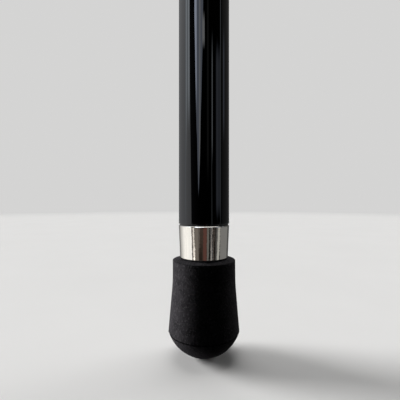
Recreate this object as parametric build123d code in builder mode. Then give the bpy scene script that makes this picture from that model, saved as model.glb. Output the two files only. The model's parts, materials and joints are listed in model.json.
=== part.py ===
from build123d import *
import os
from math import asin, degrees, sqrt

# Walking cane with one bell-shaped rubber tip, a telescopic shaft and a derby handle.
#
# Millimetres, +Z up. The origin is the centre of the rubber tip's flat foot. The shaft's axis
# is the Z axis. The handle runs along X with its nose at -X, and the height button faces -Y.
# The shaft stands at the middle one of its height holes.

# ---------------------------------------------------------------- driving dimensions

overall_height = 914.0

# gaps between pieces, and the chamfer on turned and moulded ends
press_gap = 0.02
running_gap = 0.08
joint_gap = 0.3
end_chamfer = 0.8

# rubber tip
foot_radius = 3.7
tread_inner_radius = 2.2
tread_outer_radius = 2.8
tread_depth = 0.7
dome_radius = 14.05
dome_top_z = 8.4
undercut_radius = 12.75
undercut_z = 8.65
lip_radius = 13.35
lip_z = 8.9
lip_height = 0.4
undercut_fillet = 0.06
lip_fillet = 0.1
lip_blend_radius = 2.0
neck_radius = 11.8
neck_base_z = 27.0
neck_bend_radius = 70.0
tip_height = 35.6
tip_edge_radius = 0.5
mouth_radius = 8.6
mouth_rise = 0.35
mouth_depth = 1.85
socket_radius = 7.5
socket_floor_z = 8.0

# steel disc and black core inside the tip
disc_radius = 7.3
disc_thickness = 1.5
core_flange_radius = 8.1
core_flange_z = 35.6
core_top_z = 76.0
core_bore_radius = 4.5
core_bore_floor_z = 45.0

# nickel ferrule sleeve
sleeve_base_z = 36.35
sleeve_length = 12.4
sleeve_base_radius = 9.0
sleeve_top_radius = 9.5
sleeve_edge_radius = 0.45
sleeve_washer_thickness = 0.35
sleeve_washer_radius = 8.95

# telescopic tubes
lower_tube_radius = 9.5
lower_tube_wall = 1.5
lower_tube_top_z = 510.0
tube_edge_radius = 0.3
upper_tube_radius = 11.1
upper_tube_wall = 1.2
upper_tube_top_z = 862.0
guide_flange_height = 6.0
guide_plug_length = 18.0
guide_bore_radius = 5.0

# height holes and snap button
button_z = 480.0
hole_pitch = 25.4
hole_count = 7
height_hole_radius = 3.5
button_radius = 3.25
button_hole_radius = 3.35
button_reach = 13.2
button_dome_height = 0.9
button_flange_radius = 4.3
button_flange_face = 6.6
rivet_radius = 1.4
rivet_head_radius = 2.2
rivet_head_thickness = 0.6
spring_thickness = 0.6
spring_width = 7.0
spring_front_y = -5.3
spring_back_y = 6.6
spring_top_z = 488.0
spring_knee_z = 468.0
spring_bend_z = 438.0
spring_knee_radius = 8.0
spring_bend_radius = 1.8
spring_gap = 0.1

# collet lock at the upper tube's lower end
lock_end_margin = 55.0
bush_skirt_length = 20.0
bush_skirt_radius = 12.9
bush_flange_thickness = 2.0
collet_length = 12.2
collet_nose_radius = 10.9
collet_root_radius = 12.2
collet_slit_width = 1.6
collet_slit_count = 6
collet_web = 1.8
wedge_height = 8.0
wedge_gap = 0.1
wedge_overhang = 0.4
wedge_seat_gap = 0.2
key_width = 1.2
key_depth = 1.7
key_height = 7.0
key_count = 2
collar_radius = 16.0
collar_length = 34.0
collar_lip_thickness = 4.0
collar_lip_bore_radius = 9.9
collar_edge_radius = 1.4
flute_count = 16
flute_radius = 1.6
flute_centre_radius = 16.8
flute_margin = 5.0

# handle mounting
insert_length = 40.0
spigot_radius = 8.0
spigot_height = 24.0
pin_radius = 1.5
pin_inset = 10.0
pin_spacing = 16.0
pin_half_length = 11.0
stud_radius = 4.0
stud_depth = 28.0
handle_collar_height = 14.0
handle_collar_base_radius = 11.7
handle_collar_top_radius = 12.7
handle_collar_bead_radius = 13.1
handle_collar_bead_height = 3.0
handle_collar_fillets = [0.5, 0.5, 0.8, 0.4]
gasket_thickness = 0.5
gasket_radius = 12.3
nut_radius = 6.0
nut_length = 14.0

# derby handle: place along X, height below the handle's crown, half height and half width of
# each oval section, from the nose to the heel
handle_sections = [
    (-47.0, 41.0, 5.0, 6.0),
    (-41.0, 28.0, 8.5, 9.5),
    (-24.0, 16.5, 12.0, 13.0),
    (0.0, 14.0, 14.0, 14.5),
    (26.0, 14.0, 13.0, 15.0),
    (52.0, 16.0, 11.5, 14.0),
    (76.0, 21.5, 9.0, 11.5),
    (84.0, 25.0, 6.0, 7.5),
]
handle_end_radius = 4.0
neck_flare_height = 16.0
neck_top_half_length = 20.0
neck_top_half_width = 13.4

# ---------------------------------------------------------------- derived dimensions

sleeve_top_z = sleeve_base_z + sleeve_length
lower_tube_base_z = sleeve_top_z + sleeve_washer_thickness
lower_bore_radius = lower_tube_radius - lower_tube_wall
upper_bore_radius = upper_tube_radius - upper_tube_wall
core_base_z = socket_floor_z + disc_thickness
mouth_z = tip_height + mouth_rise
half_travel = hole_pitch * (hole_count - 1) / 2
upper_tube_base_z = button_z - half_travel - lock_end_margin
bush_flange_z = upper_tube_base_z - bush_flange_thickness
collet_nose_z = bush_flange_z - collet_length
collet_bore_radius = lower_tube_radius + running_gap
collet_slope = (collet_root_radius - collet_nose_radius) / collet_length
wedge_base_z = collet_nose_z - wedge_overhang
collar_lip_z = wedge_base_z - wedge_seat_gap
collar_base_z = collar_lip_z - collar_lip_thickness
collar_bore_radius = bush_skirt_radius + running_gap
insert_base_z = upper_tube_top_z - insert_length
spigot_top_z = upper_tube_top_z + spigot_height
handle_collar_base_z = upper_tube_top_z + joint_gap
handle_collar_top_z = handle_collar_base_z + handle_collar_height
handle_base_z = handle_collar_top_z + gasket_thickness
nut_base_z = spigot_top_z + joint_gap
nut_top_z = nut_base_z + nut_length
stud_base_z = spigot_top_z - stud_depth


def save(piece, name):
    """Label a finished piece and write it to its own STEP file."""
    piece.part.label = name
    export_step(piece.part, f"parts/{name}.step")


# ---------------------------------------------------------------- foot of the cane

dome_centre_z = sqrt(dome_radius**2 - foot_radius**2)
dome_start_angle = -degrees(asin(dome_centre_z / dome_radius))
dome_end_angle = -degrees(asin((dome_centre_z - dome_top_z) / dome_radius))

with BuildPart() as rubber_tip:
    with BuildSketch(Plane.XZ):
        with BuildLine():
            Polyline(
                (0, 0),
                (tread_inner_radius, 0),
                (tread_inner_radius, tread_depth),
                (tread_outer_radius, tread_depth),
                (tread_outer_radius, 0),
                (foot_radius, 0),
            )
            dome = CenterArc(
                (0, dome_centre_z),
                dome_radius,
                dome_start_angle,
                dome_end_angle - dome_start_angle,
            )
            FilletPolyline(
                dome @ 1,
                (undercut_radius, undercut_z),
                (lip_radius, lip_z),
                (lip_radius, lip_z + lip_height),
                (neck_radius, neck_base_z),
                (neck_radius, tip_height),
                (mouth_radius, mouth_z),
                radius=[undercut_fillet, lip_fillet, lip_blend_radius, neck_bend_radius, tip_edge_radius],
            )
            Polyline(
                (mouth_radius, mouth_z),
                (socket_radius, mouth_z - mouth_depth),
                (socket_radius, socket_floor_z),
                (0, socket_floor_z),
                (0, 0),
            )
        make_face()
    revolve(axis=Axis.Z)
save(rubber_tip, "rubber_tip")

with BuildPart() as tip_washer:
    with BuildSketch(Plane.XY.offset(socket_floor_z)):
        Circle(disc_radius)
    extrude(amount=disc_thickness)
save(tip_washer, "tip_washer")

with BuildPart() as tip_core:
    with BuildSketch(Plane.XY.offset(core_base_z)):
        Circle(socket_radius - press_gap)
    extrude(amount=core_flange_z - core_base_z)
    with BuildSketch(Plane.XY.offset(core_flange_z)):
        Circle(core_flange_radius)
    extrude(amount=sleeve_base_z - core_flange_z)
    with BuildSketch(Plane.XY.offset(sleeve_base_z)):
        Circle(lower_bore_radius - press_gap)
    extrude(amount=core_top_z - sleeve_base_z)
    with BuildSketch(Plane.XY.offset(core_bore_floor_z)):
        Circle(core_bore_radius)
    extrude(amount=core_top_z - core_bore_floor_z, mode=Mode.SUBTRACT)
    core_rims = tip_core.edges().filter_by(GeomType.CIRCLE).sort_by(Axis.Z)
    chamfer([core_rims[0], core_rims[-1]], length=end_chamfer)
save(tip_core, "tip_core")

with BuildPart() as ferrule_sleeve:
    with BuildSketch(Plane.XZ):
        with BuildLine():
            FilletPolyline(
                (lower_bore_radius, sleeve_base_z),
                (sleeve_base_radius, sleeve_base_z),
                (sleeve_top_radius, sleeve_top_z),
                (lower_bore_radius, sleeve_top_z),
                radius=sleeve_edge_radius,
            )
            Line((lower_bore_radius, sleeve_top_z), (lower_bore_radius, sleeve_base_z))
        make_face()
    revolve(axis=Axis.Z)
save(ferrule_sleeve, "ferrule_sleeve")

with BuildPart() as sleeve_washer:
    with BuildSketch(Plane.XY.offset(sleeve_top_z)):
        Circle(sleeve_washer_radius)
        Circle(lower_bore_radius, mode=Mode.SUBTRACT)
    extrude(amount=sleeve_washer_thickness)
save(sleeve_washer, "sleeve_washer")

# ---------------------------------------------------------------- telescopic tubes

with BuildPart() as lower_tube:
    with BuildSketch(Plane.XY.offset(lower_tube_base_z)):
        Circle(lower_tube_radius)
        Circle(lower_bore_radius, mode=Mode.SUBTRACT)
    extrude(amount=lower_tube_top_z - lower_tube_base_z)
    end_edges = lower_tube.edges().filter_by(GeomType.CIRCLE).sort_by(SortBy.RADIUS)[-2:]
    fillet(end_edges, radius=tube_edge_radius)
    with BuildSketch(Plane.XZ):
        with Locations((0, button_z)):
            Circle(button_hole_radius)
    extrude(amount=lower_tube_radius + 1, mode=Mode.SUBTRACT)
save(lower_tube, "lower_tube")

with BuildPart() as guide_plug:
    with BuildSketch(Plane.XY.offset(lower_tube_top_z - guide_plug_length)):
        Circle(lower_bore_radius - press_gap)
    extrude(amount=guide_plug_length)
    with BuildSketch(Plane.XY.offset(lower_tube_top_z)):
        Circle(upper_bore_radius - running_gap)
    extrude(amount=guide_flange_height)
    chamfer(guide_plug.edges().filter_by(GeomType.CIRCLE).sort_by(Axis.Z)[-1], length=end_chamfer)
    with BuildSketch(Plane.XY.offset(lower_tube_top_z - guide_plug_length)):
        Circle(guide_bore_radius)
    extrude(amount=guide_plug_length + guide_flange_height, mode=Mode.SUBTRACT)
save(guide_plug, "guide_plug")

with BuildPart() as upper_tube:
    with BuildSketch(Plane.XY.offset(upper_tube_base_z)):
        Circle(upper_tube_radius)
        Circle(upper_bore_radius, mode=Mode.SUBTRACT)
    extrude(amount=upper_tube_top_z - upper_tube_base_z)
    with BuildSketch(Plane.XZ):
        with Locations((0, button_z)):
            with GridLocations(0, hole_pitch, 1, hole_count):
                Circle(height_hole_radius)
    extrude(amount=upper_tube_radius + 1, mode=Mode.SUBTRACT)
    with BuildSketch(Plane.YZ):
        with Locations((0, upper_tube_top_z - pin_inset - pin_spacing / 2)):
            with GridLocations(0, pin_spacing, 1, 2):
                Circle(pin_radius)
    extrude(amount=upper_tube_radius + 1, both=True, mode=Mode.SUBTRACT)
save(upper_tube, "upper_tube")

# ---------------------------------------------------------------- snap button

button_dome_radius = (button_radius**2 + button_dome_height**2) / (2 * button_dome_height)
button_dome_angle = degrees(asin(button_radius / button_dome_radius))
rivet_head_face = -spring_front_y - spring_thickness / 2 - spring_gap
flange_back = -spring_front_y + spring_thickness / 2 + spring_gap
button_plane = Plane(origin=(0, 0, button_z), x_dir=(0, -1, 0), z_dir=(-1, 0, 0))

with BuildPart() as snap_button:
    with BuildSketch(button_plane):
        with BuildLine():
            Polyline(
                (button_reach, 0),
                (rivet_head_face - rivet_head_thickness, 0),
                (rivet_head_face - rivet_head_thickness, rivet_head_radius),
                (rivet_head_face, rivet_head_radius),
                (rivet_head_face, rivet_radius),
                (flange_back, rivet_radius),
                (flange_back, button_flange_radius),
                (button_flange_face, button_flange_radius),
                (button_flange_face, button_radius),
                (button_reach - button_dome_height, button_radius),
            )
            CenterArc(
                (button_reach - button_dome_radius, 0),
                button_dome_radius,
                0,
                button_dome_angle,
            )
        make_face()
    revolve(axis=Axis((0, 0, button_z), (0, -1, 0)))
save(snap_button, "snap_button")

with BuildPart() as snap_spring:
    with BuildSketch(Plane.YZ):
        with BuildLine():
            FilletPolyline(
                (spring_front_y, spring_top_z),
                (spring_front_y, spring_knee_z),
                (0, spring_bend_z),
                (spring_back_y, spring_top_z),
                radius=[spring_knee_radius, spring_bend_radius],
            )
        trace(line_width=spring_thickness)
    extrude(amount=spring_width / 2, both=True)
    with BuildSketch(Plane.XZ):
        with Locations((0, button_z)):
            Circle(rivet_radius + spring_gap)
    extrude(amount=lower_bore_radius, mode=Mode.SUBTRACT)
save(snap_spring, "snap_spring")

# ---------------------------------------------------------------- collet lock

with BuildPart() as lock_bush:
    with BuildSketch(Plane.XZ):
        with BuildLine():
            Polyline(
                (collet_bore_radius, collet_nose_z),
                (collet_nose_radius, collet_nose_z),
                (collet_root_radius, bush_flange_z),
                (bush_skirt_radius, bush_flange_z),
                (bush_skirt_radius, upper_tube_base_z + bush_skirt_length),
                (upper_tube_radius + press_gap, upper_tube_base_z + bush_skirt_length),
                (upper_tube_radius + press_gap, upper_tube_base_z),
                (collet_bore_radius, upper_tube_base_z),
                close=True,
            )
        make_face()
    revolve(axis=Axis.Z)
    skirt_rim = lock_bush.edges().filter_by(GeomType.CIRCLE).group_by(Axis.Z)[-1]
    chamfer(skirt_rim.sort_by(SortBy.RADIUS)[-1], length=end_chamfer)
    with BuildSketch(Plane.XY.offset(collet_nose_z)):
        with PolarLocations(0, collet_slit_count // 2, angular_range=180):
            Rectangle(2 * bush_skirt_radius, collet_slit_width)
    extrude(amount=collet_length - collet_web, mode=Mode.SUBTRACT)
save(lock_bush, "lock_bush")


def collet_radius(z):
    """Outside radius of the tapered collet at height z."""
    return collet_nose_radius + collet_slope * (z - collet_nose_z)


with BuildPart() as wedge_ring:
    with BuildSketch(Plane.XZ):
        with BuildLine():
            Polyline(
                (collet_radius(wedge_base_z) + wedge_gap, wedge_base_z),
                (bush_skirt_radius, wedge_base_z),
                (bush_skirt_radius, wedge_base_z + wedge_height),
                (collet_radius(wedge_base_z + wedge_height) + wedge_gap, wedge_base_z + wedge_height),
                close=True,
            )
        make_face()
    revolve(axis=Axis.Z)
    key_centre_radius = collar_lip_bore_radius + key_depth / 2
    with BuildSketch(Plane.XY.offset(wedge_base_z)):
        with PolarLocations(key_centre_radius, key_count):
            Rectangle(key_depth, key_width)
    extrude(amount=key_height)
save(wedge_ring, "wedge_ring")

with BuildPart() as lock_collar:
    with BuildSketch(Plane.XY.offset(collar_base_z)):
        Circle(collar_radius)
    extrude(amount=collar_length)
    fillet(lock_collar.edges().filter_by(GeomType.CIRCLE), radius=collar_edge_radius)
    with BuildSketch(Plane.XY.offset(collar_base_z + flute_margin)):
        with PolarLocations(flute_centre_radius, flute_count):
            Circle(flute_radius)
    extrude(amount=collar_length - 2 * flute_margin, mode=Mode.SUBTRACT)
    with BuildSketch(Plane.XY.offset(collar_base_z)):
        Circle(collar_lip_bore_radius)
    extrude(amount=collar_length, mode=Mode.SUBTRACT)
    with BuildSketch(Plane.XY.offset(collar_lip_z)):
        Circle(collar_bore_radius)
    extrude(amount=collar_length, mode=Mode.SUBTRACT)
save(lock_collar, "lock_collar")

# ---------------------------------------------------------------- handle mounting

with BuildPart() as handle_insert:
    with BuildSketch(Plane.XY.offset(insert_base_z)):
        Circle(upper_bore_radius - press_gap)
    extrude(amount=insert_length)
    with BuildSketch(Plane.XY.offset(upper_tube_top_z)):
        Circle(spigot_radius)
    extrude(amount=spigot_height)
    chamfer(handle_insert.edges().filter_by(GeomType.CIRCLE).sort_by(Axis.Z)[-1], length=end_chamfer)
    with BuildSketch(Plane.XY.offset(insert_base_z)):
        Circle(stud_radius)
    extrude(amount=insert_length + spigot_height, mode=Mode.SUBTRACT)
    with BuildSketch(Plane.YZ):
        with Locations((0, upper_tube_top_z - pin_inset - pin_spacing / 2)):
            with GridLocations(0, pin_spacing, 1, 2):
                Circle(pin_radius)
    extrude(amount=upper_tube_radius, both=True, mode=Mode.SUBTRACT)
save(handle_insert, "handle_insert")

with BuildPart() as insert_pins:
    with BuildSketch(Plane.YZ):
        with Locations((0, upper_tube_top_z - pin_inset - pin_spacing / 2)):
            with GridLocations(0, pin_spacing, 1, 2):
                Circle(pin_radius - press_gap)
    extrude(amount=pin_half_length, both=True)
save(insert_pins, "insert_pins")

with BuildPart() as handle_collar:
    with BuildSketch(Plane.XZ):
        with BuildLine():
            FilletPolyline(
                (spigot_radius + joint_gap, handle_collar_base_z),
                (handle_collar_base_radius, handle_collar_base_z),
                (handle_collar_top_radius, handle_collar_top_z - handle_collar_bead_height),
                (handle_collar_bead_radius, handle_collar_top_z - handle_collar_bead_height / 2),
                (handle_collar_top_radius, handle_collar_top_z),
                (spigot_radius + joint_gap, handle_collar_top_z),
                radius=handle_collar_fillets,
            )
            Line(
                (spigot_radius + joint_gap, handle_collar_top_z),
                (spigot_radius + joint_gap, handle_collar_base_z),
            )
        make_face()
    revolve(axis=Axis.Z)
save(handle_collar, "handle_collar")

with BuildPart() as collar_gasket:
    with BuildSketch(Plane.XY.offset(handle_collar_top_z)):
        Circle(gasket_radius)
        Circle(spigot_radius + joint_gap, mode=Mode.SUBTRACT)
    extrude(amount=gasket_thickness)
save(collar_gasket, "collar_gasket")

with BuildPart() as handle_stud:
    with BuildSketch(Plane.XY.offset(stud_base_z)):
        Circle(stud_radius - press_gap)
    extrude(amount=nut_top_z - stud_base_z)
    chamfer(handle_stud.edges().filter_by(GeomType.CIRCLE), length=end_chamfer)
save(handle_stud, "handle_stud")

with BuildPart() as handle_nut:
    with BuildSketch(Plane.XY.offset(nut_base_z)):
        Circle(nut_radius - press_gap)
        Circle(stud_radius, mode=Mode.SUBTRACT)
    extrude(amount=nut_length)
save(handle_nut, "handle_nut")

# ---------------------------------------------------------------- derby handle

spine_points = [(x, 0, overall_height - drop) for x, drop, _, _ in handle_sections]
spine = Spline(*spine_points, mode=Mode.PRIVATE)

with BuildPart() as handle:
    for point, (_, _, half_height, half_width) in zip(spine_points, handle_sections):
        direction = spine.tangent_at(spine.param_at_point(point))
        with BuildSketch(Plane(origin=point, x_dir=(0, 1, 0), z_dir=direction)):
            Ellipse(half_width, half_height)
    loft()
    fillet(handle.faces().filter_by(GeomType.PLANE).edges(), radius=handle_end_radius)
    with BuildSketch(Plane.XY.offset(handle_base_z)):
        Circle(gasket_radius)
    with BuildSketch(Plane.XY.offset(handle_base_z + neck_flare_height)):
        Ellipse(neck_top_half_length, neck_top_half_width)
    loft()
    with BuildSketch(Plane.XY.offset(handle_base_z)):
        Circle(spigot_radius + joint_gap)
    extrude(amount=spigot_top_z + joint_gap - handle_base_z, mode=Mode.SUBTRACT)
    with BuildSketch(Plane.XY.offset(handle_base_z)):
        Circle(nut_radius)
    extrude(amount=nut_top_z + joint_gap - handle_base_z, mode=Mode.SUBTRACT)
save(handle, "handle")
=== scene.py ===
import json
import math

import bmesh
import bpy
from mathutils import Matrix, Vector, noise


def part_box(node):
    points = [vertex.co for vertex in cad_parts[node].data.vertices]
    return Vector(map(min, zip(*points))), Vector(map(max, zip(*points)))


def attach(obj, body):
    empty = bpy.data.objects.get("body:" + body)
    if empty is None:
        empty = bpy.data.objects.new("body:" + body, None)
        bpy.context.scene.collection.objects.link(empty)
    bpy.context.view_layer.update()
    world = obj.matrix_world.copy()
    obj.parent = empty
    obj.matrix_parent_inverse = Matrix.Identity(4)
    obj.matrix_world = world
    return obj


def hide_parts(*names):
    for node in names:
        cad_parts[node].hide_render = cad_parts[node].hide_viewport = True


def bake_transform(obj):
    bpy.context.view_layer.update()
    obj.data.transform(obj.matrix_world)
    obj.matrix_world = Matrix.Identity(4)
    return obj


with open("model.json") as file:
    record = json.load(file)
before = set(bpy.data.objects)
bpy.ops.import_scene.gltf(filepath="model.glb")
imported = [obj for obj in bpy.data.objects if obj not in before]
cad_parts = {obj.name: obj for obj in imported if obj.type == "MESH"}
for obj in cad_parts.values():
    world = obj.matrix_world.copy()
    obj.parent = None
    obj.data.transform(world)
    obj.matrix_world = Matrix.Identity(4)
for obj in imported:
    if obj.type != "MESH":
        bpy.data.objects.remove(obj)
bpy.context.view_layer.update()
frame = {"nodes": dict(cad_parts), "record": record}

# A single-tip walking cane, seen from close to its rubber tip. Every piece is the frame's own mesh,
# apart from the rubber tip, which a finer one replaces, and the leaf spring, which a copy
# replaces.

SCENE = bpy.context.scene
SCENE.view_settings.view_transform = "Standard"
SCENE.view_settings.look = "None"

MM = 0.001

# the camera: a point in metres, looking level along +Y, with its lens and sensor in millimetres
EYE = (-0.0015, -0.1139, 0.0580)
LENS = 27.0
SENSOR = 36.0

# the rubber tip, in millimetres: its width and mouth come from the frame, the rest refines the CAD shape
tip_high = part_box("rubber_tip")[1]
WIDEST = tip_high.x / MM
MOUTH_Z = tip_high.z / MM
RIM_Z = MOUTH_Z - 0.35
RIM_RADIUS = 11.8
RIM_ROUNDING = 0.3
SOCKET_RADIUS = 7.6
SOCKET_MOUTH_RADIUS = 8.7
SOCKET_MOUTH_ROUNDING = 0.1
SOCKET_MOUTH_RISE = 0.15
SOCKET_CHAMFER = 1.75
SOCKET_DEPTH = 6.0
FLARE_Z = 27.2
FLARE_SOFTNESS = 1.3
LIP_Z = 9.21
LIP_ROUNDING = 0.14
LIP_INSET = 0.11
WALL_START_Z = LIP_Z + 0.04
SHOULDER_ROUNDING = 0.12
SHOULDER_INSET = 0.11
SHOULDER_RISE = 0.05
GROOVE_RADIUS = 12.4
GROOVE_LOW_Z = 8.60
GROOVE_HIGH_Z = 8.94
DOME_RADIUS = 14.05
DOME_END = -21.8
FOOT_RADIUS = 3.7
TREAD_INNER = 2.2
TREAD_OUTER = 2.8
TREAD_DEPTH = 0.7
# how far, in millimetres, the painted shade in the groove fades out above and below it
GROOVE_SHADE_FADE = 0.13
TIP_SEGMENTS = 288
WALL_STEPS = 72

# the unevenness of the tip's outside, in millimetres, and how fast its noise changes round the
# tip and with each millimetre of height; nothing inside SMOOTH_INSIDE is uneven, and the flash
# line takes its noise from one level
SMOOTH_INSIDE = 10.0
WALL_UNEVENNESS = 0.06
WALL_WAVES_ROUND = 1.3
WALL_WAVES_UP = 0.055
FLASH_UNEVENNESS = 0.10
FLASH_WAVES_ROUND = 9.0
FLASH_HALF_HEIGHT = 0.17
FLASH_LEVEL = 4.0

# the floor, in metres: a disc that starts to fade at FADE_START and is all backdrop at FADE_END
FLOOR_RADIUS = 9.0
FLOOR_SEGMENTS = 96
FADE_START = 1.0
FADE_END = 1.5


# ------------------------------------------------------------------ node helpers

def opaque(colour):
    """Red, green and blue with full alpha."""
    return (*colour, 1.0)


class Graph:
    """A few short calls for wiring shader nodes."""

    # a mix node's sockets for colours, which share their names with those for other kinds of value
    FIRST_COLOUR = 6
    SECOND_COLOUR = 7
    MIXED_COLOUR = 2

    def __init__(self, tree):
        self.tree = tree

    def node(self, kind, **settings):
        """A new node with its settings."""
        made = self.tree.nodes.new(kind)
        for name, value in settings.items():
            setattr(made, name, value)
        return made

    def feed(self, socket, value):
        """Link a socket to another one, or give it a value."""
        if isinstance(value, bpy.types.NodeSocket):
            self.tree.links.new(value, socket)
        else:
            socket.default_value = value

    def math(self, operation, *values):
        """One step of arithmetic."""
        made = self.node("ShaderNodeMath", operation=operation)
        for socket, value in zip(made.inputs, values):
            self.feed(socket, value)
        return made.outputs[0]

    def remap(self, value, low, high, to_low=0.0, to_high=1.0, smooth=False):
        """The value carried from one range to another and held at its ends."""
        made = self.node("ShaderNodeMapRange", clamp=True)
        made.interpolation_type = "SMOOTHSTEP" if smooth else "LINEAR"
        self.feed(made.inputs["Value"], value)
        self.feed(made.inputs["From Min"], low)
        self.feed(made.inputs["From Max"], high)
        self.feed(made.inputs["To Min"], to_low)
        self.feed(made.inputs["To Max"], to_high)
        return made.outputs["Result"]

    def mix(self, factor, first, second, blend="MIX"):
        """Two colours mixed, each a socket or its red, green and blue."""
        made = self.node("ShaderNodeMix", data_type="RGBA", blend_type=blend)
        self.feed(made.inputs["Factor"], factor)
        for place, colour in ((self.FIRST_COLOUR, first), (self.SECOND_COLOUR, second)):
            self.feed(made.inputs[place], opaque(colour) if isinstance(colour, tuple) else colour)
        return made.outputs[self.MIXED_COLOUR]

    def stretched(self, scale):
        """Object coordinates in metres, scaled per axis."""
        place = self.node("ShaderNodeTexCoord").outputs["Object"]
        mapping = self.node("ShaderNodeMapping")
        self.feed(mapping.inputs["Vector"], place)
        self.feed(mapping.inputs["Scale"], scale)
        return mapping.outputs["Vector"]

    def noise(self, scale, detail=3.0, roughness=0.55):
        """Noise from 0 to 1 with so many waves per metre along each axis."""
        made = self.node("ShaderNodeTexNoise")
        self.feed(made.inputs["Vector"], self.stretched(scale))
        self.feed(made.inputs["Scale"], 1.0)
        self.feed(made.inputs["Detail"], detail)
        self.feed(made.inputs["Roughness"], roughness)
        return made.outputs["Fac"]

    def cells(self, scale):
        """How near the closest of scattered points is, 0 at the point, with a scale per axis."""
        made = self.node("ShaderNodeTexVoronoi", feature="F1")
        self.feed(made.inputs["Vector"], self.stretched(scale))
        self.feed(made.inputs["Scale"], 1.0)
        return made.outputs["Distance"]

    def bump(self, height, distance, normal=None):
        """A normal for relief of so many metres, on top of another normal if one is given."""
        made = self.node("ShaderNodeBump")
        self.feed(made.inputs["Height"], height)
        self.feed(made.inputs["Distance"], distance)
        self.feed(made.inputs["Strength"], 1.0)
        if normal is not None:
            self.feed(made.inputs["Normal"], normal)
        return made.outputs["Normal"]


def new_material(name):
    """A new principled material, with its graph and its shader node."""
    made = bpy.data.materials.new(name)
    made.use_nodes = True
    shader = next(n for n in made.node_tree.nodes if n.type == "BSDF_PRINCIPLED")
    return made, Graph(made.node_tree), shader


def same(scale):
    """One scale for all three axes."""
    return (scale, scale, scale)


# ------------------------------------------------------------------ materials

def lacquered_tube():
    """Gloss black lacquer over a drawn tube: the draw lines show faintly in the coat, with fine dust."""
    made, g, shader = new_material("black_lacquer_gloss")
    lines = g.noise((900.0, 900.0, 2.5), detail=2.0)
    broad = g.noise((160.0, 160.0, 1.2), detail=1.0)
    specks = g.remap(g.cells(same(420.0)), 0.05, 0.09, 1.0, 0.0)
    sparse = g.remap(g.noise(same(90.0), detail=1.0), 0.62, 0.66)
    dust = g.math("MULTIPLY", specks, sparse)
    g.feed(shader.inputs["Base Color"], g.mix(dust, (0.003, 0.003, 0.0035), (0.04, 0.04, 0.04)))
    shader.inputs["Specular IOR Level"].default_value = 0.0
    shader.inputs["Coat Weight"].default_value = 1.0
    shader.inputs["Coat Roughness"].default_value = 0.018
    shader.inputs["Coat IOR"].default_value = 1.5
    g.feed(shader.inputs["Roughness"], g.remap(dust, 0.0, 1.0, 0.3, 0.6))
    height = g.math("ADD", g.math("MULTIPLY", lines, 0.25), broad)
    g.feed(shader.inputs["Coat Normal"], g.bump(height, 0.00004))
    return made


def nickel():
    """Warm polished nickel with hairline marks, a fine ripple and a faint haze."""
    made, g, shader = new_material("polished_nickel_warm")
    marks = g.noise((1500.0, 1500.0, 60.0), detail=2.0)
    haze = g.noise(same(260.0), detail=3.0)
    g.feed(shader.inputs["Base Color"], g.mix(haze, (0.80, 0.765, 0.70), (0.87, 0.84, 0.79)))
    shader.inputs["Metallic"].default_value = 1.0
    g.feed(shader.inputs["Roughness"], g.remap(haze, 0.3, 0.7, 0.045, 0.085))
    ripple = g.bump(g.noise((1500.0, 1500.0, 1100.0), detail=2.0), 0.000016)
    g.feed(shader.inputs["Normal"], g.bump(marks, 0.000006, ripple))
    return made


def rubber():
    """Dusty moulded black rubber: grain, pimples, mottling, a few lint specks, and painted shade
    darkening the groove.
    """
    made, g, shader = new_material("tip_rubber_matt")
    mottle = g.noise(same(300.0), detail=4.0, roughness=0.65)
    speckle = g.noise(same(1500.0), detail=3.0, roughness=0.75)
    grain = g.noise(same(4200.0), detail=2.0, roughness=0.7)
    specks = g.remap(g.cells(same(300.0)), 0.06, 0.10, 1.0, 0.0)
    sparse = g.remap(g.noise(same(120.0), detail=1.0), 0.60, 0.64)
    lint = g.math("MULTIPLY", specks, sparse)
    base = g.mix(g.remap(mottle, 0.35, 0.68), (0.014, 0.0131, 0.0146), (0.031, 0.0292, 0.0318))
    base = g.mix(g.remap(speckle, 0.53, 0.68), base, (0.060, 0.0565, 0.061))
    base = g.mix(lint, base, (0.16, 0.15, 0.145))
    split = g.node("ShaderNodeSeparateXYZ")
    g.feed(split.inputs[0], g.node("ShaderNodeTexCoord").outputs["Object"])
    # painted shade: the colour goes almost black in the groove under the lip, standing in for the shade
    # there
    above = g.remap(split.outputs["Z"], (GROOVE_LOW_Z - GROOVE_SHADE_FADE) * MM, GROOVE_LOW_Z * MM)
    below = g.remap(split.outputs["Z"], GROOVE_HIGH_Z * MM, (GROOVE_HIGH_Z + GROOVE_SHADE_FADE) * MM, 1.0, 0.0)
    groove_painted_shade = g.math("MULTIPLY", above, below)
    g.feed(shader.inputs["Base Color"], g.mix(groove_painted_shade, base, (0.002, 0.002, 0.002)))
    g.feed(shader.inputs["Roughness"], g.remap(mottle, 0.3, 0.7, 0.46, 0.62))
    shader.inputs["Specular IOR Level"].default_value = 0.02
    pimples = g.remap(g.cells(same(1350.0)), 0.08, 0.46, 1.0, 0.0, smooth=True)
    pimples = g.math("MULTIPLY", pimples, g.remap(g.noise(same(620.0), detail=2.0), 0.44, 0.58))
    relief = g.bump(grain, 0.00002)
    relief = g.bump(speckle, 0.00014, relief)
    relief = g.bump(pimples, 0.00034, relief)
    g.feed(shader.inputs["Normal"], g.bump(mottle, 0.00010, relief))
    return made


def gasket():
    """Thin black gasket rubber with a fine grain."""
    made, g, shader = new_material("gasket_rubber_black")
    grain = g.noise(same(2600.0), detail=2.0)
    g.feed(shader.inputs["Base Color"], g.mix(grain, (0.008, 0.008, 0.008), (0.02, 0.02, 0.02)))
    g.feed(shader.inputs["Roughness"], g.remap(grain, 0.3, 0.7, 0.6, 0.8))
    g.feed(shader.inputs["Normal"], g.bump(grain, 0.00003))
    return made


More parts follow.
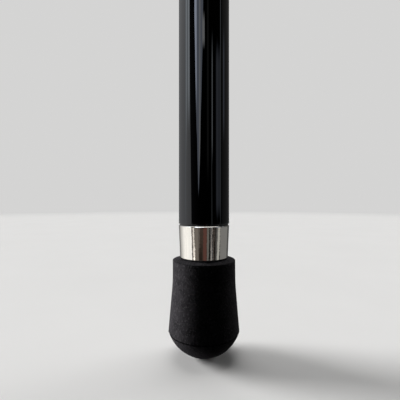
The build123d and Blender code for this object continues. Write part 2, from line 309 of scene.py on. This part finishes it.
def zinc():
    """Zinc plated steel: cloudy spangle."""
    made, g, shader = new_material("zinc_steel_plated")
    cloud = g.cells(same(500.0))
    soft = g.noise(same(900.0), detail=3.0)
    g.feed(shader.inputs["Base Color"], g.mix(cloud, (0.42, 0.44, 0.46), (0.62, 0.64, 0.66)))
    shader.inputs["Metallic"].default_value = 1.0
    g.feed(shader.inputs["Roughness"], g.remap(soft, 0.3, 0.7, 0.28, 0.46))
    g.feed(shader.inputs["Normal"], g.bump(soft, 0.00001))
    return made


def spring_steel():
    """Spring steel with rolling lines along the strip and a straw tint in patches."""
    made, g, shader = new_material("spring_steel_rolled")
    lines = g.noise((3000.0, 200.0, 30.0), detail=2.0)
    tint = g.noise(same(60.0), detail=2.0)
    g.feed(shader.inputs["Base Color"], g.mix(tint, (0.22, 0.21, 0.22), (0.36, 0.31, 0.25)))
    shader.inputs["Metallic"].default_value = 1.0
    g.feed(shader.inputs["Roughness"], g.remap(lines, 0.3, 0.7, 0.22, 0.4))
    g.feed(shader.inputs["Normal"], g.bump(lines, 0.00001))
    return made


def button_steel():
    """Bright steel with fine streaks along Y, the way the snap button points."""
    made, g, shader = new_material("button_steel_bright")
    streaks = g.noise((1400.0, 200.0, 1400.0), detail=2.0)
    g.feed(shader.inputs["Base Color"], g.mix(streaks, (0.56, 0.56, 0.57), (0.68, 0.68, 0.68)))
    shader.inputs["Metallic"].default_value = 1.0
    g.feed(shader.inputs["Roughness"], g.remap(streaks, 0.3, 0.7, 0.16, 0.28))
    g.feed(shader.inputs["Normal"], g.bump(streaks, 0.000006))
    return made


def nylon(name, dark, light, rough):
    """Moulded nylon with a fine spark-eroded texture and faint flow marks."""
    made, g, shader = new_material(name)
    grain = g.noise(same(2200.0), detail=3.0, roughness=0.6)
    flow = g.noise((120.0, 120.0, 40.0), detail=2.0)
    g.feed(shader.inputs["Base Color"], g.mix(flow, dark, light))
    g.feed(shader.inputs["Roughness"], g.remap(grain, 0.3, 0.7, rough - 0.06, rough + 0.08))
    g.feed(shader.inputs["Normal"], g.bump(grain, 0.00002))
    return made


def turned_aluminium():
    """Aluminium with the lathe's rings round Z."""
    made, g, shader = new_material("turned_aluminium_rings")
    rings = g.noise((60.0, 60.0, 5000.0), detail=2.0)
    g.feed(shader.inputs["Base Color"], g.mix(rings, (0.66, 0.67, 0.68), (0.80, 0.80, 0.81)))
    shader.inputs["Metallic"].default_value = 1.0
    g.feed(shader.inputs["Roughness"], g.remap(rings, 0.3, 0.7, 0.22, 0.36))
    g.feed(shader.inputs["Normal"], g.bump(rings, 0.00001))
    return made


def brass():
    """Brass with the lathe's rings round Z, tarnished in patches."""
    made, g, shader = new_material("threaded_brass_turned")
    rings = g.noise((80.0, 80.0, 3600.0), detail=2.0)
    stain = g.noise(same(240.0), detail=3.0)
    bright = g.mix(rings, (0.70, 0.50, 0.22), (0.82, 0.62, 0.30))
    g.feed(shader.inputs["Base Color"], g.mix(g.remap(stain, 0.5, 0.8), bright, (0.42, 0.28, 0.12)))
    shader.inputs["Metallic"].default_value = 1.0
    g.feed(shader.inputs["Roughness"], g.remap(stain, 0.3, 0.7, 0.24, 0.42))
    g.feed(shader.inputs["Normal"], g.bump(rings, 0.00001))
    return made


def handle_resin():
    """Satin black grip resin: faint pores and hand-polished patches."""
    made, g, shader = new_material("handle_resin_satin")
    worn = g.noise(same(45.0), detail=3.0)
    pores = g.noise((420.0, 1500.0, 1500.0), detail=3.0, roughness=0.6)
    g.feed(shader.inputs["Base Color"], g.mix(worn, (0.007, 0.007, 0.0075), (0.014, 0.0135, 0.0135)))
    g.feed(shader.inputs["Roughness"], g.remap(worn, 0.3, 0.7, 0.30, 0.44))
    shader.inputs["Coat Weight"].default_value = 0.25
    shader.inputs["Coat Roughness"].default_value = 0.14
    g.feed(shader.inputs["Normal"], g.bump(pores, 0.00002))
    return made


MATERIALS = {
    "tip_rubber": rubber(),
    "gasket_rubber": gasket(),
    "black_lacquer": lacquered_tube(),
    "polished_nickel": nickel(),
    "zinc_steel": zinc(),
    "spring_steel": spring_steel(),
    "button_steel": button_steel(),
    "black_nylon": nylon("black_nylon_moulded", (0.009, 0.009, 0.010), (0.018, 0.018, 0.019), 0.42),
    "white_nylon": nylon("white_nylon_moulded", (0.70, 0.68, 0.62), (0.80, 0.78, 0.73), 0.45),
    "collar_plastic": nylon("collar_plastic_moulded", (0.011, 0.011, 0.012), (0.02, 0.02, 0.021), 0.36),
    "turned_aluminium": turned_aluminium(),
    "threaded_brass": brass(),
    "handle_resin": handle_resin(),
}

SLOT_OF_NODE = {part["node"]: part["material_slot"] for part in frame["record"]["subparts"]}
for node_name, node_object in frame["nodes"].items():
    for slot in node_object.material_slots:
        slot.material = MATERIALS[SLOT_OF_NODE[node_name]]


# ------------------------------------------------------------------ mesh helpers

# a point nearer to the axis than this, in metres, is on it
ON_AXIS = 1e-7


def lathe(name, profile, segments, shift):
    """A mesh turned about Z from (radius, z) points in metres, each made wider by what shift says."""
    mesh = bpy.data.meshes.new(name)
    made = bmesh.new()
    rings = []
    for radius, z in profile:
        if radius < ON_AXIS:
            rings.append([made.verts.new((0.0, 0.0, z))])
            continue
        ring = []
        for k in range(segments):
            angle = 2 * math.pi * k / segments
            grown = radius + shift(radius, z, angle)
            ring.append(made.verts.new((grown * math.cos(angle), grown * math.sin(angle), z)))
        rings.append(ring)
    for lower, upper in zip(rings, rings[1:]):
        for k in range(segments):
            after = (k + 1) % segments
            lower_pair = [lower[k % len(lower)], lower[after % len(lower)]]
            upper_pair = [upper[after % len(upper)], upper[k % len(upper)]]
            corners = list(dict.fromkeys(lower_pair + upper_pair))
            if len(corners) > 2:
                made.faces.new(corners)
    bmesh.ops.recalc_face_normals(made, faces=made.faces)
    made.to_mesh(mesh)
    made.free()
    mesh.polygons.foreach_set("use_smooth", [True] * len(mesh.polygons))
    piece = bpy.data.objects.new(name, mesh)
    SCENE.collection.objects.link(piece)
    return piece


def arc(centre, radius, start, end, steps):
    """Points of a circular arc, angles in degrees from the outward direction."""
    points = []
    for k in range(steps + 1):
        angle = math.radians(start + (end - start) * k / steps)
        points.append((centre[0] + radius * math.cos(angle), centre[1] + radius * math.sin(angle)))
    return points


def run(start, end, steps):
    """Evenly spaced points between two points, the first one left out."""
    return [
        (start[0] + (end[0] - start[0]) * k / steps, start[1] + (end[1] - start[1]) * k / steps)
        for k in range(1, steps + 1)
    ]


def dressed(piece, node, slot, body):
    """Give a new piece its material, and let it ride on a body in the place of a CAD node."""
    piece.data.materials.append(MATERIALS[slot])
    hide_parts(node)
    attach(piece, body)


# ------------------------------------------------------------------ camera

camera_data = bpy.data.cameras.new("camera")
camera_data.lens = LENS
camera_data.sensor_width = SENSOR
camera_data.clip_start = 0.01
camera_data.clip_end = 60.0
camera = bpy.data.objects.new("camera", camera_data)
camera.location = EYE
camera.rotation_euler = (math.radians(90), 0, 0)
SCENE.collection.objects.link(camera)
SCENE.camera = camera


# ------------------------------------------------------------------ studio

world = bpy.data.worlds.new("studio")
world.use_nodes = True
SCENE.world = world
sky = Graph(world.node_tree)
background = next(n for n in world.node_tree.nodes if n.type == "BACKGROUND")
direction = sky.node("ShaderNodeSeparateXYZ")
sky.feed(direction.inputs[0], sky.node("ShaderNodeTexCoord").outputs["Generated"])
east, north, up = direction.outputs
AZIMUTH = sky.math("DEGREES", sky.math("ARCTAN2", east, sky.math("MULTIPLY", north, -1.0)))
HEIGHT = sky.math("DEGREES", sky.math("ARCSINE", up))


def grey(level, tint=(1.0, 1.0, 1.0)):
    """A grey of so much brightness, tinted."""
    return (level * tint[0], level * tint[1], level * tint[2])


def upright(place, soft, lean, falling=False):
    """A soft upright edge at an azimuth: rising to 1 on its right, or falling to 0.

    It moves right by so many degrees for each degree of height that it leans.
    """
    before, after = (1.0, 0.0) if falling else (0.0, 1.0)
    across = sky.math("SUBTRACT", AZIMUTH, sky.math("MULTIPLY", HEIGHT, lean))
    return sky.remap(across, place - soft, place + soft, before, after, smooth=True)


def level_edge(place, soft, falling=False):
    """A soft level edge at a height: rising to 1 above it, or falling to 0."""
    before, after = (1.0, 0.0) if falling else (0.0, 1.0)
    return sky.remap(HEIGHT, place - soft, place + soft, before, after, smooth=True)


def panel(under, colour, left, right, low, high, soft=2.0, soft_up=2.0, lean_left=0.0, lean_right=0.0):
    """A light or a card on the studio's wall, painted over what is already there.

    Its edges are directions in degrees. Azimuth 0 is towards -Y and grows towards +X.
    """
    mask = upright(left, soft, lean_left)
    mask = sky.math("MULTIPLY", mask, upright(right, soft, lean_right, falling=True))
    mask = sky.math("MULTIPLY", mask, level_edge(low, soft_up))
    mask = sky.math("MULTIPLY", mask, level_edge(high, soft_up, falling=True))
    return sky.mix(mask, under, colour)


CLEAR = (0.98, 1.0, 1.03)
COOL = (0.92, 1.0, 1.08)
BLUE = (0.84, 0.93, 1.14)
ROSE = (1.75, 0.80, 0.66)
WARM = (1.0, 0.98, 0.94)
CREAM = (1.03, 0.98, 0.93)
BROWN = (1.25, 0.90, 0.74)

# how far down the cards reach, where those that only the nickel shows end, and the height that
# the azimuths of their leaning edges are given for
DEEP = -60.0
LOW_TOP = -5.0
LOW_MIDDLE = -9.0
# past the azimuth straight behind, so that a panel closes round the whole studio
ROUND = 181.0


def far_walls():
    """The room's walls: dark in front so that the lacquer stays black, lighter behind at the right."""
    room = panel(grey(0.003), grey(0.085), 88, 164, -70, 80, soft=5, soft_up=8)
    return panel(room, grey(0.045), 164, ROUND, -70, 80, soft=5, soft_up=8)


def left_softbox(room):
    """The big softbox at the left, with its lamps: it fades to its far side, and its cloth has folds."""
    folds = sky.node("ShaderNodeTexNoise", noise_dimensions="1D")
    sky.feed(folds.inputs["W"], sky.math("MULTIPLY", AZIMUTH, 0.22))
    folds.inputs["Scale"].default_value = 1.0
    folds.inputs["Detail"].default_value = 2.0
    cloth = sky.mix(folds.outputs["Fac"], grey(0.74, CLEAR), grey(1.26, CLEAR))
    upper = sky.mix(sky.remap(AZIMUTH, -170, -90), grey(0.07), grey(0.98))
    lower = sky.mix(sky.remap(AZIMUTH, -153, -102), grey(0.16, WARM), grey(1.11, WARM))
    glow = sky.mix(sky.remap(HEIGHT, -6, -4, smooth=True), lower, upper)
    glow = sky.mix(1.0, glow, cloth, blend="MULTIPLY")
    room = panel(room, glow, -ROUND, -60.5, -40, 48, soft=1.0, soft_up=6, lean_right=-0.28)
    room = panel(room, grey(1.25, COOL), -94.5, -90.5, -5, 48, soft=1.0, soft_up=6)
    room = panel(room, grey(1.5, COOL), -92, -63, 17, 44, soft=1.5, soft_up=5, lean_right=-0.22)
    room = panel(room, grey(2.3, COOL), -89, -83, 14, 44, soft=1.0, soft_up=8)
    return panel(room, grey(3.0, COOL), -76, -69, 17, 44, soft=1.2, soft_up=5)


def strip_light(room):
    """The strip light overhead in front: several tubes cut to one long taper, seen in the lacquer."""
    strip_left, lean_left = -24.8, -0.58
    strip_right, lean_right = -25.0, 0.62
    outside = -60.0
    for left, right, colour in (
        (outside, 12, grey(1.35, BLUE)),
        (outside, -27.5, grey(1.3, BLUE)),
        (-27.0, -22.8, grey(1.5, BLUE)),
        (-22.5, -17.5, grey(2.35, CLEAR)),
    ):
        tube = panel(room, colour, left, right, 2, 46, soft=0.8, soft_up=2)
        taper = sky.math(
            "MULTIPLY",
            upright(strip_left, 0.8, lean_left),
            upright(strip_right, 1.0, lean_right, falling=True),
        )
        room = sky.mix(taper, room, tube)
    room = panel(
        room, grey(4.7, BLUE), strip_left, -32.5, 19, 46,
        soft=0.8, soft_up=4, lean_left=lean_left,
    )
    return panel(room, grey(2.1, CLEAR), -9, 5, 27.5, 31.5, soft=1.0, soft_up=1.0, lean_right=-0.1)


def right_cards(room):
    """Narrow lights and soft cards at the right."""
    room = panel(room, grey(0.10), 13, 20, 6, 36, soft=1.2, soft_up=4)
    room = panel(room, grey(1.25, COOL), 34.2, 38.6, 9, 27, soft=0.9, soft_up=3)
    room = panel(
        room, grey(0.30, COOL), 32.5, 36.5, DEEP, 9,
        soft=1.0, soft_up=3, lean_left=-0.1, lean_right=-0.1,
    )
    room = panel(room, grey(0.33, BLUE), 55, 76, -2, 26, soft=2.0, soft_up=2)
    room = panel(room, grey(0.46, BLUE), 59, 64, -2, 26, soft=2.0, soft_up=3)
    room = panel(room, grey(0.42, COOL), 76.5, 81, -4, 40, soft=1.0, soft_up=5)
    return panel(room, grey(0.44, BLUE), 95, 104, 13, 28, soft=2.5, soft_up=3)


def low_cards(room):
    """What stands low in front of the cane, seen in the nickel only: each card leans as one piece."""
    for left, right, colour, lean in (
        (-60, -52, grey(0.13, (1.12, 0.97, 0.95)), -0.3),
        (-53.5, -47.0, grey(0.80, CREAM), -0.5),
        (-44, -27, grey(0.155, (1.1, 0.97, 0.88)), -0.2),
        (-27, -19, grey(0.10, (1.12, 0.97, 0.88)), 0.0),
        (-19, -4, grey(0.042, BROWN), 0.0),
        (-4, 12, grey(0.058, ROSE), 0.0),
        (13.5, 22, grey(0.13, (1.02, 1.0, 0.93)), 0.0),
        (27, 31, grey(0.12), -0.4),
        (35.4, 39.4, grey(0.26, (1.08, 0.98, 0.92)), 0.6),
        (43.6, 47.6, grey(0.085, (1.15, 0.97, 0.88)), 0.2),
        (52, 62, grey(0.05, (1.05, 1.0, 0.95)), 0.0),
        (61, 67, grey(0.15), 0.3),
        (66.5, 78, grey(0.42, (1.0, 1.0, 0.95)), 0.5),
        (79, 134, grey(0.20), 0.0),
    ):
        shift = LOW_MIDDLE * lean
        room = panel(
            room, colour, left - shift, right - shift, DEEP, LOW_TOP,
            soft=1.0, soft_up=1.0, lean_left=lean, lean_right=lean,
        )
    # lower still, a lamp that brightens the sleeve's foot and a dark patch beside it
    room = panel(room, grey(1.5, CREAM), -50.5, -43, DEEP, -14.2, soft=1.0, soft_up=1.2)
    return panel(room, grey(0.018, BROWN), -25, -8, DEEP, -13.5, soft=2.0, soft_up=1.5)


def overhead_softbox(room):
    """A softbox all round the top of the room."""
    return panel(room, grey(2.6), -ROUND, ROUND, 52, 91, soft=1, soft_up=5)


studio = far_walls()
for hang in (left_softbox, strip_light, right_cards, low_cards, overhead_softbox):
    studio = hang(studio)

# the camera sees this plain backdrop, and only reflections see the studio
PALE = grey(0.66, (1.0, 0.997, 0.99))
seen = sky.node("ShaderNodeLightPath").outputs["Is Camera Ray"]
sky.feed(background.inputs["Color"], sky.mix(seen, studio, PALE))
background.inputs["Strength"].default_value = 1.0
world.cycles_visibility.diffuse = False


# metres from the origin; a distant light shines the same from anywhere along its direction
LIGHT_DISTANCE = 2.0


def softbox(name, azimuth, height, spread, strength):
    """A distant soft light that shows in no reflection, with its direction and spread in degrees."""
    data = bpy.data.lights.new(name, "SUN")
    data.angle = math.radians(spread)
    data.energy = strength
    lamp = bpy.data.objects.new(name, data)
    turn, rise = math.radians(azimuth), math.radians(height)
    level = math.cos(rise)
    place = Vector((math.sin(turn) * level, -math.cos(turn) * level, math.sin(rise)))
    lamp.location = place * LIGHT_DISTANCE
    lamp.rotation_euler = place.to_track_quat("Z", "Y").to_euler()
    lamp.visible_camera = False
    lamp.visible_glossy = False
    SCENE.collection.objects.link(lamp)


softbox("key", -109, 14, 28, 6.5)
softbox("bounce", -108, -27, 30, 4.3)
softbox("rim", 122, 15, 26, 0.9)
softbox("overhead", 180, 66, 50, 1.35)


# ------------------------------------------------------------------ floor

def pale_floor_material():
    """A faintly cloudy pale floor that passes softly into the backdrop's own colour."""
    made, g, shader = new_material("floor_pale")
    cloudy = g.noise(same(14.0), detail=3.0)
    g.feed(shader.inputs["Base Color"], g.mix(cloudy, (0.74, 0.735, 0.725), (0.78, 0.775, 0.765)))
    shader.inputs["Roughness"].default_value = 0.9
    shader.inputs["Specular IOR Level"].default_value = 0.1
    away = g.node("ShaderNodeVectorMath", operation="LENGTH")
    g.feed(away.inputs[0], g.node("ShaderNodeTexCoord").outputs["Object"])
    backdrop = g.node("ShaderNodeEmission")
    g.feed(backdrop.inputs["Color"], opaque(PALE))
    merged = g.node("ShaderNodeMixShader")
    g.feed(merged.inputs["Fac"], g.remap(away.outputs["Value"], FADE_START, FADE_END, smooth=True))
    g.feed(merged.inputs[1], shader.outputs["BSDF"])
    g.feed(merged.inputs[2], backdrop.outputs["Emission"])
    surface = next(n for n in made.node_tree.nodes if n.type == "OUTPUT_MATERIAL")
    g.feed(surface.inputs["Surface"], merged.outputs[0])
    return made


def pale_floor():
    """A wide flat disc under the cane. It throws no light and no shadow, and no reflection shows it."""
    corners = []
    for k in range(FLOOR_SEGMENTS):
        angle = 2 * math.pi * k / FLOOR_SEGMENTS
        corners.append((FLOOR_RADIUS * math.cos(angle), FLOOR_RADIUS * math.sin(angle), 0.0))
    mesh = bpy.data.meshes.new("floor")
    mesh.from_pydata(corners, [], [tuple(range(FLOOR_SEGMENTS))])
    mesh.materials.append(pale_floor_material())
    disc = bpy.data.objects.new("floor", mesh)
    disc.visible_glossy = False
    disc.visible_diffuse = False
    disc.visible_shadow = False
    SCENE.collection.objects.link(disc)
    return disc


floor = pale_floor()


# ------------------------------------------------------------------ rubber tip

def wall_radius(z):
    """The side wall's radius at a height: straight above FLARE_Z and evenly wider below it."""
    slope = (WIDEST - RIM_RADIUS) / (FLARE_Z - LIP_Z)
    drop = FLARE_SOFTNESS * math.log1p(math.exp((FLARE_Z - z) / FLARE_SOFTNESS))
    return RIM_RADIUS + slope * drop


def tip_profile():
    """Half section of the rubber tip in metres, from the middle of the foot to inside the socket."""
    points = [(0.0, 0.0)]
    for corner in (
        (TREAD_INNER, 0.0),
        (TREAD_INNER, TREAD_DEPTH),
        (TREAD_OUTER, TREAD_DEPTH),
        (TREAD_OUTER, 0.0),
        (FOOT_RADIUS, 0.0),
    ):
        points += run(points[-1], corner, 3)
    dome_z = math.sqrt(DOME_RADIUS ** 2 - FOOT_RADIUS ** 2)
    dome_start = -math.degrees(math.acos(FOOT_RADIUS / DOME_RADIUS))
    points += arc((0.0, dome_z), DOME_RADIUS, dome_start, DOME_END, 44)[1:]
    shoulder_radius, shoulder_z = points[-1]
    shoulder = (shoulder_radius - SHOULDER_INSET, shoulder_z + SHOULDER_RISE)
    points += arc(shoulder, SHOULDER_ROUNDING, -15, 75, 5)
    for corner in (
        (GROOVE_RADIUS, GROOVE_LOW_Z),
        (GROOVE_RADIUS, GROOVE_HIGH_Z),
        (WIDEST - LIP_INSET, LIP_Z - LIP_ROUNDING),
    ):
        points += run(points[-1], corner, 4)
    points += arc((WIDEST - LIP_ROUNDING, LIP_Z), LIP_ROUNDING, -60, 10, 6)
    wall_end = RIM_Z - RIM_ROUNDING
    for k in range(1, WALL_STEPS + 1):
        z = WALL_START_Z + (wall_end - WALL_START_Z) * k / WALL_STEPS
        points.append((wall_radius(z), z))
    points += arc((RIM_RADIUS - RIM_ROUNDING, wall_end), RIM_ROUNDING, 5, 84, 7)
    points += run(points[-1], (SOCKET_MOUTH_RADIUS, MOUTH_Z + SOCKET_MOUTH_RISE), 14)
    points += run(points[-1], (SOCKET_MOUTH_RADIUS - SOCKET_MOUTH_ROUNDING, MOUTH_Z), 3)
    points += run(points[-1], (SOCKET_RADIUS, MOUTH_Z - SOCKET_CHAMFER), 6)
    points += run(points[-1], (SOCKET_RADIUS, MOUTH_Z - SOCKET_DEPTH), 2)
    return [(radius * MM, z * MM) for radius, z in points]


def tip_unevenness(radius, z, angle):
    """Metres that a point stands out by: slow waves in the wall, and a flash line of uneven width."""
    if radius < SMOOTH_INSIDE * MM:
        return 0.0
    east, north = math.cos(angle), math.sin(angle)
    around = Vector((east * WALL_WAVES_ROUND, north * WALL_WAVES_ROUND, z / MM * WALL_WAVES_UP))
    slow = noise.noise(around) * WALL_UNEVENNESS * MM
    flash = 0.0
    if abs(z - LIP_Z * MM) < FLASH_HALF_HEIGHT * MM:
        fine = Vector((east * FLASH_WAVES_ROUND, north * FLASH_WAVES_ROUND, FLASH_LEVEL))
        flash = noise.noise(fine) * FLASH_UNEVENNESS * MM
    return slow + flash


tip = lathe("rubber_tip_moulded", tip_profile(), TIP_SEGMENTS, tip_unevenness)
dressed(tip, "rubber_tip", "tip_rubber", "lower_shaft")


# ------------------------------------------------------------------ leaf spring

# a copy takes the place of the CAD spring, which is stiff
spring = frame["nodes"]["snap_spring"].copy()
spring.data = spring.data.copy()
spring.name = "snap_spring_flexing"
SCENE.collection.objects.link(spring)
placed = spring.matrix_world.copy()
spring.parent = None
spring.matrix_world = placed
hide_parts("snap_spring")
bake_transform(spring)
